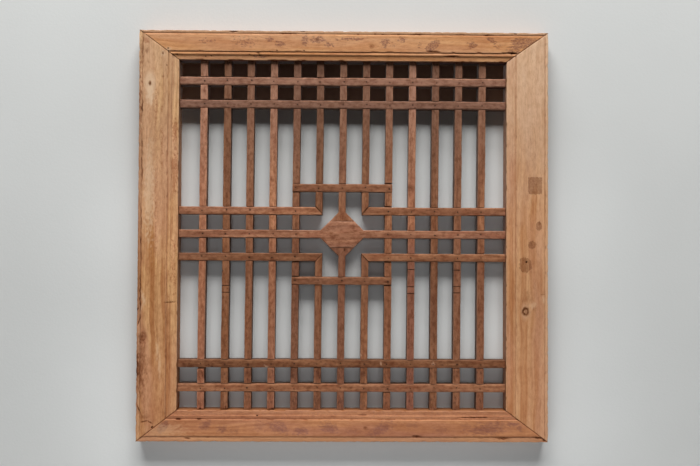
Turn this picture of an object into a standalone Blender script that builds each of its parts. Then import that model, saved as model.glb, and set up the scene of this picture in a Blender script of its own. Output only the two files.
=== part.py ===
"""Square wooden lattice window: a mitred, moulded frame round a half-lapped lattice with a diamond.

Run with: blender --background --python part.py
Metres. +X is to the right, +Y goes towards the wall behind, +Z is up. The origin is the centre
of the top rail's back face, where the window hangs on its wall.
"""
import math

import bmesh
import bpy

# Frame: two stiles and two rails, mitred at the corners
WINDOW_WIDTH = 0.900
WINDOW_HEIGHT = 0.900
FRAME_DEPTH = 0.045
LEFT_STILE_WIDTH = 0.088
RIGHT_STILE_WIDTH = 0.092
TOP_RAIL_WIDTH = 0.065
BOTTOM_RAIL_WIDTH = 0.068
FRAME_BACK_Y = 0.0
FRAME_FRONT_Y = FRAME_BACK_Y - FRAME_DEPTH

# Moulding worked on the frame's face; drops are measured back from the flat field
EDGE_STRIP_WIDTH = 0.0062
EDGE_STRIP_DROP = 0.0014
EDGE_ARRIS = 0.0008
EDGE_GROOVE_WIDTH = 0.0013
EDGE_GROOVE_DROP = 0.0032
SHOULDER_WIDTH = 0.0035
SHOULDER_DROP = 0.0024
STILE_MOULDING_WIDTH = 0.024
RAIL_MOULDING_WIDTH = 0.020
STEP_WIDTH = 0.0005
VALLEY_WIDTH = 0.0012
VALLEY_DROP = 0.0024
RIDGE_WIDTH = 0.0062
RIDGE_RISE = 0.0015
RIDGE_TURN = 0.75 * math.pi
COVE_WIDTH = 0.0046
INNER_STRIP_DROP = 0.0040
INNER_ARRIS = 0.0009
ARC_STEPS = 5

# Lattice: thirteen columns and nine rows on one pitch, set a little above the opening's centre
PITCH = 0.051
EDGE_COLUMN = 6
SHORT_ROW_COLUMN = 2
UPRIGHT_WIDTH = 0.016
CROSSBAR_WIDTH = 0.0175
LATTICE_DEPTH = 0.028
LATTICE_RECESS = 0.013
LATTICE_LIFT = 0.001
OUTER_ROW = 0.338
INNER_ROW = OUTER_ROW - PITCH
SHORT_ROW = 2 * PITCH
CORNER_ROW = PITCH

# Diamond at the centre, sawn from the same two boards as the bars that cross there
DIAMOND_REACH = 0.056
DIAMOND_BOARD_HALF = 0.0295

# Joints
GAP = 0.0003
MITRE_EASE = 0.0002
STUB_LENGTH = 0.012
STUB_THICKNESS = 0.012
CORNER_TENON_INSET = 0.016
CORNER_TENON_INNER_WALL = 0.026
CORNER_TENON_TIP = 0.026
CORNER_TENON_ROOT = 0.100
CORNER_TENON_FRONT_Y = -0.030
CORNER_TENON_BACK_Y = -0.015
CUT_MARGIN = 0.005

# Wood colours
FRAME_COLOUR = (0.47, 0.26, 0.14, 1.0)
LATTICE_COLOUR = (0.22, 0.10, 0.06, 1.0)
WOOD_ROUGHNESS = 0.6

# Worked out from the dimensions above
TOP_Z = TOP_RAIL_WIDTH / 2
BOTTOM_Z = TOP_Z - WINDOW_HEIGHT
OPENING_LEFT = -WINDOW_WIDTH / 2 + LEFT_STILE_WIDTH
OPENING_RIGHT = WINDOW_WIDTH / 2 - RIGHT_STILE_WIDTH
OPENING_TOP = TOP_Z - TOP_RAIL_WIDTH
OPENING_BOTTOM = BOTTOM_Z + BOTTOM_RAIL_WIDTH
LATTICE_X = (OPENING_LEFT + OPENING_RIGHT) / 2
LATTICE_Z = (OPENING_TOP + OPENING_BOTTOM) / 2 + LATTICE_LIFT
LATTICE_FRONT_Y = FRAME_FRONT_Y + LATTICE_RECESS
LATTICE_BACK_Y = LATTICE_FRONT_Y + LATTICE_DEPTH
LATTICE_MIDDLE_Y = (LATTICE_FRONT_Y + LATTICE_BACK_Y) / 2
UPRIGHT_HALF = UPRIGHT_WIDTH / 2
CROSSBAR_HALF = CROSSBAR_WIDTH / 2

# The lattice's own reach, from its centre to the ends of the stub tenons
REACH_LEFT = OPENING_LEFT - LATTICE_X - STUB_LENGTH
REACH_RIGHT = OPENING_RIGHT - LATTICE_X + STUB_LENGTH
REACH_DOWN = OPENING_BOTTOM - LATTICE_Z - STUB_LENGTH
REACH_UP = OPENING_TOP - LATTICE_Z + STUB_LENGTH


def clear_scene():
    for item in list(bpy.data.objects):
        bpy.data.objects.remove(item, do_unlink=True)


def wood(name, colour):
    material = bpy.data.materials.new(name)
    material.use_nodes = True
    shader = material.node_tree.nodes["Principled BSDF"]
    shader.inputs["Base Color"].default_value = colour
    shader.inputs["Roughness"].default_value = WOOD_ROUGHNESS
    shader.inputs["Metallic"].default_value = 0.0
    return material


def add_object(name, bm, colour=None):
    """Turns a bmesh into an object of the scene, with a wood of its own if a colour is given."""
    bmesh.ops.recalc_face_normals(bm, faces=bm.faces)
    mesh = bpy.data.meshes.new(name)
    bm.to_mesh(mesh)
    bm.free()
    item = bpy.data.objects.new(name, mesh)
    bpy.context.scene.collection.objects.link(item)
    if colour:
        mesh.materials.append(wood(name, colour))
    return item


def add_cutter(name, bm):
    cutter = add_object(name, bm)
    cutter.hide_render = True
    cutter.display_type = "WIRE"
    return cutter


def apply_cutter(item, cutter, operation="DIFFERENCE"):
    boolean = item.modifiers.new(cutter.name, "BOOLEAN")
    boolean.operation = operation
    boolean.solver = "EXACT"
    boolean.object = cutter


def add_prism(bm, outline, front_y, back_y):
    """Extrudes an outline of (x, z) points from front_y to back_y."""
    front = [bm.verts.new((x, front_y, z)) for x, z in outline]
    back = [bm.verts.new((x, back_y, z)) for x, z in outline]
    bm.faces.new(front)
    bm.faces.new(reversed(back))
    count = len(outline)
    for index in range(count):
        following = (index + 1) % count
        bm.faces.new((front[index], back[index], back[following], front[following]))


def rectangle(left, right, bottom, top):
    return [(left, bottom), (right, bottom), (right, top), (left, top)]


def swap_axes(outline):
    """Turns a crossbar's outline into an upright's."""
    return [(across, along) for along, across in outline]


# ---------------------------------------------------------------- frame

def face_profile(width, moulding_width):
    """Section of a frame member: (distance in from the outer edge, y), outer edge to inner edge."""
    groove = EDGE_STRIP_WIDTH + EDGE_GROOVE_WIDTH
    shoulder = groove + STEP_WIDTH
    points = [(0.0, EDGE_STRIP_DROP + EDGE_ARRIS), (EDGE_ARRIS, EDGE_STRIP_DROP),
              (EDGE_STRIP_WIDTH, EDGE_STRIP_DROP), (groove, EDGE_GROOVE_DROP)]
    for step in range(ARC_STEPS + 1):
        angle = math.pi / 2 * step / ARC_STEPS
        across = shoulder + SHOULDER_WIDTH * (1 - math.cos(angle))
        points.append((across, SHOULDER_DROP * (1 - math.sin(angle))))
    field_edge = width - moulding_width
    points.append((field_edge, 0.0))
    valley = field_edge + STEP_WIDTH
    points.append((valley, VALLEY_DROP))
    ridge = valley + VALLEY_WIDTH
    for step in range(ARC_STEPS + 1):
        share = step / ARC_STEPS
        rise = RIDGE_RISE * math.sin(RIDGE_TURN * share)
        points.append((ridge + RIDGE_WIDTH * share, VALLEY_DROP - rise))
    cove_start = points[-1][1]
    cove = ridge + RIDGE_WIDTH
    for step in range(1, ARC_STEPS + 1):
        angle = math.pi / 2 * step / ARC_STEPS
        drop = cove_start + (INNER_STRIP_DROP - cove_start) * math.sin(angle)
        points.append((cove + COVE_WIDTH * (1 - math.cos(angle)), drop))
    points.append((width - INNER_ARRIS, INNER_STRIP_DROP))
    points.append((width, INNER_STRIP_DROP + INNER_ARRIS))
    return [(across, FRAME_FRONT_Y + drop) for across, drop in points]


def frame_member(name, width, moulding_width, length, widths_beside):
    """One mitred member, its outer edge on the local X axis and its face towards local -Y."""
    section = face_profile(width, moulding_width) + [(width, FRAME_BACK_Y), (0.0, FRAME_BACK_Y)]
    bm = bmesh.new()
    rings = []
    for direction, beside in zip((-1, 1), widths_beside):
        ring = []
        for across, y in section:
            reach = length / 2 - across * beside / width - MITRE_EASE
            ring.append(bm.verts.new((direction * reach, y, -across)))
        rings.append(ring)
    count = len(section)
    for index in range(count):
        following = (index + 1) % count
        corners = (rings[0][index], rings[0][following], rings[1][following], rings[1][index])
        bm.faces.new(corners)
    bm.faces.new(rings[0])
    bm.faces.new(reversed(rings[1]))
    return add_object(name, bm, FRAME_COLOUR)


def corner_tenons(bm, low, high, grow=0.0):
    """The blind tenons on one rail's two ends, or with grow their sockets in the stiles."""
    front = CORNER_TENON_FRONT_Y - grow
    back = CORNER_TENON_BACK_Y + grow
    tip = WINDOW_WIDTH / 2 - CORNER_TENON_TIP + grow
    root = WINDOW_WIDTH / 2 - CORNER_TENON_ROOT
    add_prism(bm, rectangle(-tip, -root, low - grow, high + grow), front, back)
    add_prism(bm, rectangle(root, tip, low - grow, high + grow), front, back)


def join_corners(rails, stiles):
    """Tenons on the rails, each pair a union of its own, and their sockets in the stiles."""
    heights = (
        (OPENING_TOP + CORNER_TENON_INNER_WALL, TOP_Z - CORNER_TENON_INSET),
        (BOTTOM_Z + CORNER_TENON_INSET, OPENING_BOTTOM - CORNER_TENON_INNER_WALL),
    )
    sockets = bmesh.new()
    for rail, (low, high) in zip(rails, heights):
        tenons = bmesh.new()
        corner_tenons(tenons, low, high)
        apply_cutter(rail, add_cutter(rail.name + "_tenons", tenons), "UNION")
        corner_tenons(sockets, low, high, GAP)
    socket_cutter = add_cutter("corner_sockets", sockets)
    for stile in stiles:
        apply_cutter(stile, socket_cutter)


def build_frame():
    top = frame_member("top_rail", TOP_RAIL_WIDTH, RAIL_MOULDING_WIDTH, WINDOW_WIDTH,
                       (LEFT_STILE_WIDTH, RIGHT_STILE_WIDTH))
    right = frame_member("right_stile", RIGHT_STILE_WIDTH, STILE_MOULDING_WIDTH, WINDOW_HEIGHT,
                         (TOP_RAIL_WIDTH, BOTTOM_RAIL_WIDTH))
    bottom = frame_member("bottom_rail", BOTTOM_RAIL_WIDTH, RAIL_MOULDING_WIDTH, WINDOW_WIDTH,
                          (RIGHT_STILE_WIDTH, LEFT_STILE_WIDTH))
    left = frame_member("left_stile", LEFT_STILE_WIDTH, STILE_MOULDING_WIDTH, WINDOW_HEIGHT,
                        (BOTTOM_RAIL_WIDTH, TOP_RAIL_WIDTH))
    middle_z = (TOP_Z + BOTTOM_Z) / 2
    top.location = (0, 0, TOP_Z)
    right.location = (WINDOW_WIDTH / 2, 0, middle_z)
    bottom.location = (0, 0, BOTTOM_Z)
    left.location = (-WINDOW_WIDTH / 2, 0, middle_z)
    for quarter, member in enumerate((top, right, bottom, left)):
        member.rotation_euler = (0, quarter * math.pi / 2, 0)
    join_corners((top, bottom), (left, right))
    return top, right, bottom, left


# ---------------------------------------------------------------- lattice outlines
# An outline is a list of (along, across) points about the lattice's centre. A crossbar's
# "along" is x and its "across" is z; swap_axes turns it into an upright. "grow" widens the
# outline all round, to make the housing that the bar lies in.

def bar_outline(start, end, centre, half, start_slant=0.0, end_slant=0.0, grow=0.0):
    """A straight bar; a slant is how far an end leans out on the bar's upper edge."""
    slant_grow = 1 + grow / half
    half_grown = half + grow
    start_grow = grow * (math.sqrt(2) if start_slant else 1)
    end_grow = grow * (math.sqrt(2) if end_slant else 1)
    start_lean = start_slant * slant_grow
    end_lean = end_slant * slant_grow
    return [
        (start - start_grow - start_lean, centre - half_grown),
        (end + end_grow - end_lean, centre - half_grown),
        (end + end_grow + end_lean, centre + half_grown),
        (start - start_grow + start_lean, centre + half_grown),
    ]


def diamond_outline(start, end, half, grow=0.0):
    """The middle bar: it widens to the diamond, which the board's two edges cut off."""
    half_grown = half + grow
    board = DIAMOND_BOARD_HALF + grow
    reach = DIAMOND_REACH + grow * math.sqrt(2)
    neck = reach - half_grown
    shoulder = reach - board
    upper = [
        (end + grow, half_grown), (neck, half_grown), (shoulder, board),
        (-shoulder, board), (-neck, half_grown), (start - grow, half_grown),
    ]
    lower = [(along, -across) for along, across in reversed(upper)]
    return lower + upper


def crossbar_outlines(grow=0.0):
    """Name and outline of every crossbar, top to bottom."""
    def full(row):
        return bar_outline(REACH_LEFT, REACH_RIGHT, row, CROSSBAR_HALF, grow=grow)

    def short(row):
        end = SHORT_ROW_COLUMN * PITCH + UPRIGHT_HALF
        return bar_outline(-end, end, row, CROSSBAR_HALF, grow=grow)

    def left_corner(row, slant):
        return bar_outline(REACH_LEFT, -PITCH, row, CROSSBAR_HALF, end_slant=slant, grow=grow)

    def right_corner(row, slant):
        return bar_outline(PITCH, REACH_RIGHT, row, CROSSBAR_HALF, start_slant=slant, grow=grow)

    return {
        "crossbar_top_outer": full(OUTER_ROW),
        "crossbar_top_inner": full(INNER_ROW),
        "crossbar_short_upper": short(SHORT_ROW),
        "crossbar_upper_left": left_corner(CORNER_ROW, -UPRIGHT_HALF),
        "crossbar_upper_right": right_corner(CORNER_ROW, UPRIGHT_HALF),
        "crossbar_centre": diamond_outline(REACH_LEFT, REACH_RIGHT, CROSSBAR_HALF, grow),
        "crossbar_lower_left": left_corner(-CORNER_ROW, UPRIGHT_HALF),
        "crossbar_lower_right": right_corner(-CORNER_ROW, -UPRIGHT_HALF),
        "crossbar_short_lower": short(-SHORT_ROW),
        "crossbar_bottom_inner": full(-INNER_ROW),
        "crossbar_bottom_outer": full(-OUTER_ROW),
    }


def upright_outlines(grow=0.0):
    """Name and outline of every upright, left to right; the ones beside the centre are in two."""
    outlines = {}
    corner_end = CORNER_ROW - CROSSBAR_HALF
    for column in range(-EDGE_COLUMN, EDGE_COLUMN + 1):
        number = column + EDGE_COLUMN + 1
        centre = column * PITCH
        if column == 0:
            middle = diamond_outline(REACH_DOWN, REACH_UP, UPRIGHT_HALF, grow)
            outlines["upright_centre"] = swap_axes(middle)
        elif abs(column) == 1:
            upper = bar_outline(corner_end, REACH_UP, centre, UPRIGHT_HALF, grow=grow)
            lower = bar_outline(REACH_DOWN, -corner_end, centre, UPRIGHT_HALF, grow=grow)
            outlines[f"upright_{number:02d}_upper"] = swap_axes(upper)
            outlines[f"upright_{number:02d}_lower"] = swap_axes(lower)
        else:
            whole = bar_outline(REACH_DOWN, REACH_UP, centre, UPRIGHT_HALF, grow=grow)
            outlines[f"upright_{number:02d}"] = swap_axes(whole)
    return outlines


# ---------------------------------------------------------------- lattice cutters

def housing_cutter(name, outlines, front_y, back_y):
    """The bars' own outlines, grown by the gap, as deep as the half that they take away."""
    bm = bmesh.new()
    for outline in outlines.values():
        add_prism(bm, outline, front_y, back_y)
    return add_cutter(name, bm)


def shoulder_cutter():
    """Wood taken off the front and back of each bar's end, which leaves its stub tenon."""
    left = OPENING_LEFT - LATTICE_X + GAP
    right = OPENING_RIGHT - LATTICE_X - GAP
    bottom = OPENING_BOTTOM - LATTICE_Z + GAP
    top = OPENING_TOP - LATTICE_Z - GAP
    beyond = STUB_LENGTH + CUT_MARGIN
    side = OUTER_ROW + PITCH / 2
    end = EDGE_COLUMN * PITCH + PITCH / 2
    layers = (
        (LATTICE_FRONT_Y - CUT_MARGIN, LATTICE_MIDDLE_Y - STUB_THICKNESS / 2),
        (LATTICE_MIDDLE_Y + STUB_THICKNESS / 2, LATTICE_BACK_Y + CUT_MARGIN),
    )
    bm = bmesh.new()
    for front_y, back_y in layers:
        add_prism(bm, rectangle(left - beyond, left, -side, side), front_y, back_y)
        add_prism(bm, rectangle(right, right + beyond, -side, side), front_y, back_y)
        add_prism(bm, rectangle(-end, end, bottom - beyond, bottom), front_y, back_y)
        add_prism(bm, rectangle(-end, end, top, top + beyond), front_y, back_y)
    return add_cutter("tenon_shoulders", bm)


def mortise_cutter(crossbars, uprights):
    """A socket in the frame's inner faces for every stub tenon."""
    front_y = LATTICE_MIDDLE_Y - STUB_THICKNESS / 2 - GAP
    back_y = LATTICE_MIDDLE_Y + STUB_THICKNESS / 2 + GAP
    bm = bmesh.new()
    inside = STUB_LENGTH + CUT_MARGIN
    for outline in crossbars.values():
        left = min(x for x, z in outline)
        right = max(x for x, z in outline)
        if left < REACH_LEFT:
            low, high = span_at(outline, left, 0)
            add_prism(bm, rectangle(left, left + inside, low, high), front_y, back_y)
        if right > REACH_RIGHT:
            low, high = span_at(outline, right, 0)
            add_prism(bm, rectangle(right - inside, right, low, high), front_y, back_y)
    for outline in uprights.values():
        bottom = min(z for x, z in outline)
        top = max(z for x, z in outline)
        if bottom < REACH_DOWN:
            low, high = span_at(outline, bottom, 1)
            add_prism(bm, rectangle(low, high, bottom, bottom + inside), front_y, back_y)
        if top > REACH_UP:
            low, high = span_at(outline, top, 1)
            add_prism(bm, rectangle(low, high, top - inside, top), front_y, back_y)
    return add_cutter("mortises", bm)


def span_at(outline, end, axis):
    """Low and high edge of an outline's end, where its points lie at end along the given axis."""
    edges = [point[1 - axis] for point in outline if point[axis] == end]
    return min(edges), max(edges)


def build_lattice():
    """Builds the bars and returns the mortise cutter for the frame."""
    centre = bpy.data.objects.new("lattice_centre", None)
    centre.location = (LATTICE_X, 0, LATTICE_Z)
    bpy.context.scene.collection.objects.link(centre)

    grown_crossbars = crossbar_outlines(GAP)
    grown_uprights = upright_outlines(GAP)
    front_housings = housing_cutter("front_housings", grown_crossbars,
                                    LATTICE_FRONT_Y - CUT_MARGIN, LATTICE_MIDDLE_Y + GAP / 2)
    back_housings = housing_cutter("back_housings", grown_uprights,
                                   LATTICE_MIDDLE_Y - GAP / 2, LATTICE_BACK_Y + CUT_MARGIN)
    shoulders = shoulder_cutter()
    mortises = mortise_cutter(grown_crossbars, grown_uprights)
    for cutter in (front_housings, back_housings, shoulders, mortises):
        cutter.parent = centre

    for outlines, housings in ((crossbar_outlines(), back_housings),
                               (upright_outlines(), front_housings)):
        for name, outline in outlines.items():
            bm = bmesh.new()
            add_prism(bm, outline, LATTICE_FRONT_Y, LATTICE_BACK_Y)
            bar = add_object(name, bm, LATTICE_COLOUR)
            bar.parent = centre
            apply_cutter(bar, housings)
            apply_cutter(bar, shoulders)
    return mortises


def main():
    clear_scene()
    members = build_frame()
    mortises = build_lattice()
    for member in members:
        apply_cutter(member, mortises)


main()
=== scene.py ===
"""Looks of the square wooden lattice window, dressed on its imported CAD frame.

Metres. +X is to the right, +Y goes towards the wall behind, +Z is up, and the origin is the middle
of the top rail's back face. Every board and bar gets a fine mesh with worn edges, laps and cracks,
and a wood of its own. The CAD nodes stay for collision.
"""
import itertools
import math
import random
from types import SimpleNamespace

import bmesh
import bpy
import numpy as np
from mathutils import Matrix, Vector, noise


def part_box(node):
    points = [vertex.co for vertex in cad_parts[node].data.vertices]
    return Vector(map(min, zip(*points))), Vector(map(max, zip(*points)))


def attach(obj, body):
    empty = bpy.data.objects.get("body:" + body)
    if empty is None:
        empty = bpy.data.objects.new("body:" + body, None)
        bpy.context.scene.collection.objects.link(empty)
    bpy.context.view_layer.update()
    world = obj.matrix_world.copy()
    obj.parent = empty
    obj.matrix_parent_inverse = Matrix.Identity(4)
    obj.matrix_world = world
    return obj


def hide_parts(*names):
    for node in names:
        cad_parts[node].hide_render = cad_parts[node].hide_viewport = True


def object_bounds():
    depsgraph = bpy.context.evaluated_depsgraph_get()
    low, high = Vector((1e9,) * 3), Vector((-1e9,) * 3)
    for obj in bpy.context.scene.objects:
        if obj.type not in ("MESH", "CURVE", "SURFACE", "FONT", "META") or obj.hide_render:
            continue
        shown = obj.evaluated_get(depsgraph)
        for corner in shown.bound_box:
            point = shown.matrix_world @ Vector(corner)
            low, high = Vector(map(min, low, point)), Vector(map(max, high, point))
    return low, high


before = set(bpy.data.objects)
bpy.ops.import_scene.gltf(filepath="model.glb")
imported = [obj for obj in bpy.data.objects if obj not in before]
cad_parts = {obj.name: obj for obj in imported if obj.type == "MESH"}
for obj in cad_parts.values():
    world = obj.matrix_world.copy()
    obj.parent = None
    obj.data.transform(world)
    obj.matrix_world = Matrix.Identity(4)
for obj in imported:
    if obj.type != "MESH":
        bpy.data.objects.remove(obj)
cad_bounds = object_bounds()

# Moulding worked on the frame's face; drops are measured back from the flat field
EDGE_ARRIS = 0.0008
STRIP_DROP = 0.0014
GROOVE_WIDTH = 0.0013
GROOVE_DEPTH = 0.0018
SHOULDER_WIDTH = 0.0035
SHOULDER_DROP = 0.0024
VALLEY_WIDTH = 0.0012
VALLEY_DROP = 0.0024
RIDGE_WIDTH = 0.0062
RIDGE_TURN = 0.75 * math.pi
COVE_WIDTH = 0.0046
INNER_DROP = 0.004
INNER_ARRIS = 0.0009
BACK_ARRIS = 0.001
ARC_STEPS = 6
SHOULDER_OFFSET = 0.0005

# Dark lines in the moulding, partly dirt and partly painted shade in its creases, and painted shade
# over its lit edges: how far the lit edges lie from the shoulder and the ridge, and the lines' width
LIT_OFFSET = 0.0008
DIRT_AND_SHADE_WIDTH = 0.001
DIRT_AND_SHADE_MIX = (0.8, 0.3, 0.2)

# How finely the boards and bars are meshed
FACE_SPACING = 0.0011
HIDDEN_SPACING = 0.005
BOARD_RINGS = 560
MITRE_RINGS = (0.0, 0.0004, 0.0009, 0.0016, 0.003)
BAR_SPACING = 0.0026
BAR_FACE_POINTS = 5
DIAMOND_FACE_POINTS = 19
FACE_SHARE = 0.8
SMOOTH_ANGLE = 38

# Joints and wear, in metres where they are sizes
MITRE_GAP = 0.0002
CORNER_GAP = 0.0017
MITRE_BEVEL = 0.0006
LAP_GAP = 0.0003
LAP_LOOSENESS = 0.0011
SCARF_HALF = 0.0006
SCARF_DROP = 0.0007
SCARF_DARK = 0.9
SHOULDER_GAP = 0.0003
ARRIS_WIDTH = 0.0013
BOARD_WAVE = 0.0003
BOARD_WEAR = 0.0004
BOARD_BITE = 0.0013
WEAR_SWING = 0.4
BITE_SPAN = (0.15, 0.75)
BITE_RAGGED = 0.5
OUTER_SPAN = (-0.5, 0.9)
OUTER_DARK_SPAN = (-0.3, 0.8)
BITE_DARK = 0.45
MITRE_DARK = 0.55
BREAK_MIDDLE = 0.0076
BREAK_SWING = 0.004
BREAK_DEPTH = 0.0009
BREAK_NOISE = (19, 110, 0.5, 31)
TORN_NOISE = (10, 60, 0.6, 33)
BREAK_FOOT = -0.6
BREAK_TOP = -0.125
BREAK_FADE = 0.03
BREAK_SHARP = 0.0005
TORN_WIDTH = 0.0015
TORN_LEAST = 0.15
TORN_DARK = 0.9
FALLEN_DARK = 0.24
BAR_ARRIS = 0.0011
BAR_WEAR = 0.0007
BAR_WEAR_MIX = (0.45, 0.8, 0.4)
SIDE_WEAR = 0.7
BAR_MARK_DEPTH = 0.6
BAR_WANDER = 0.0005
WANDER_WAVES = 7
WANDER_MARGIN = 0.06
LATTICE_LEAN = 0.0053
LATTICE_SHIFT = -0.0011
LATTICE_LIFT = 0.001
LIFT_SPAN = (0.12, 0.26)
MITRE_LINE = 0.0014

# Noises that shape the wear: waves to the metre along, across and into the wood
BOARD_WAVES = (9, 30, 30)
BAR_WAVES = (25, 60, 60)
NIBBLE_WAVES = (70, 90, 90)
RAGGED_WAVES = (150, 260, 260)

# Diamond at the lattice's centre: half its diagonal, and how much wider than the others a bar is
# that carries it
DIAMOND_REACH = 0.056
WIDENED = 1.5

# Nails: one through every lap but the diamond's and the mitred corners
NAIL_RADIUS = 0.0014
NAIL_STRAY = 0.0016
NAIL_SMALLEST = 0.8
NAIL_SPREAD = 0.5
NAIL_RUST = 0.0024
NAIL_HEIGHT = 0.0002
NAIL_SIDES = 12

# Camera: in front of the window's centre, a little below it, turned and tilted a touch
CAMERA_PLACE = (-0.014, -1.999, -0.449)
CAMERA_YAW = 0.83
CAMERA_PITCH = 1.1
CAMERA_ROLL = 0.29
CAMERA_LENS = 45.95
CAMERA_SENSOR = 36.0

# Seeds: the dice for the laps, the nails and the bars, the boards' noise and the step between noises
LAP_DICE, NAIL_DICE, BAR_DICE = 5, 9, 21
FIRST_BOARD_SEED, BOARD_SEED_STEP = 11, 10
SEED_STRIDE = 7.31


# ---- numbers

def smooth(low, high, value):
    """0 at low, 1 at high and a smooth rise between; low may be the larger."""
    share = np.clip((value - low) / (high - low), 0.0, 1.0)
    return share * share * (3 - 2 * share)


def rough(places, waves, seed, octaves=2):
    """Noise of about -1 to 1 at each place, with that many waves to the metre on each axis."""
    scaled = places * np.array(waves) + seed * SEED_STRIDE
    return np.array([noise.fractal(place, 1.0, 2.0, octaves) for place in scaled])


def bump_at(value, places, width):
    """The highest of some bell curves, each (place, height)."""
    bells = [height * np.exp(-((value - place) / width) ** 2) for place, height in places]
    return np.max(bells, axis=0)


def mixed(shares, *fields):
    """A fixed share and a share of each field, added up."""
    return shares[0] + sum(share * field for share, field in zip(shares[1:], fields))


def raise_to(colour, channel, *strengths):
    """Raises one channel of the marks' colours to the strongest of these."""
    colour[:, channel] = np.maximum.reduce([colour[:, channel], *strengths])


# ---- marks
DARK, STAIN, PALE = range(3)

# A kind of mark: how deep it sinks in metres, which colour it adds and how much of it, and where its
# edge starts and ends, with the mark's own half size as 1
KINDS = {
    "hole": (0.0012, DARK, 1.0, 0.55, 1.35),
    "crack": (0.0007, DARK, 0.85, 0.55, 1.35),
    "chip": (0.0016, DARK, 0.55, 0.55, 1.35),
    "bruise": (0.0002, DARK, 0.35, 0.4, 1.5),
    "grime": (0.0002, DARK, 0.62, 0.4, 1.4),
    "shade": (0.0, DARK, 0.48, 0.1, 1.8),
    "dim": (0.0, DARK, 0.2, 0.1, 1.8),
    "stain": (0.0, STAIN, 1.0, 0.2, 1.6),
    "faint": (0.0, STAIN, 0.6, 0.1, 1.8),
    "blot": (0.0, STAIN, 0.9, 0.8, 1.15),
    "patch": (0.0, STAIN, 0.9, 0.93, 1.07),
    "pale": (0.0, PALE, 0.8, 0.55, 1.35),
    "halo": (0.0, PALE, 0.55, 0.3, 1.5),
    "eye": (0.0, PALE, 0.95, 0.4, 1.4),
    "fleck": (0.0, PALE, 0.35, 0.2, 1.6),
}
RAGGED = 0.55

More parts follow.
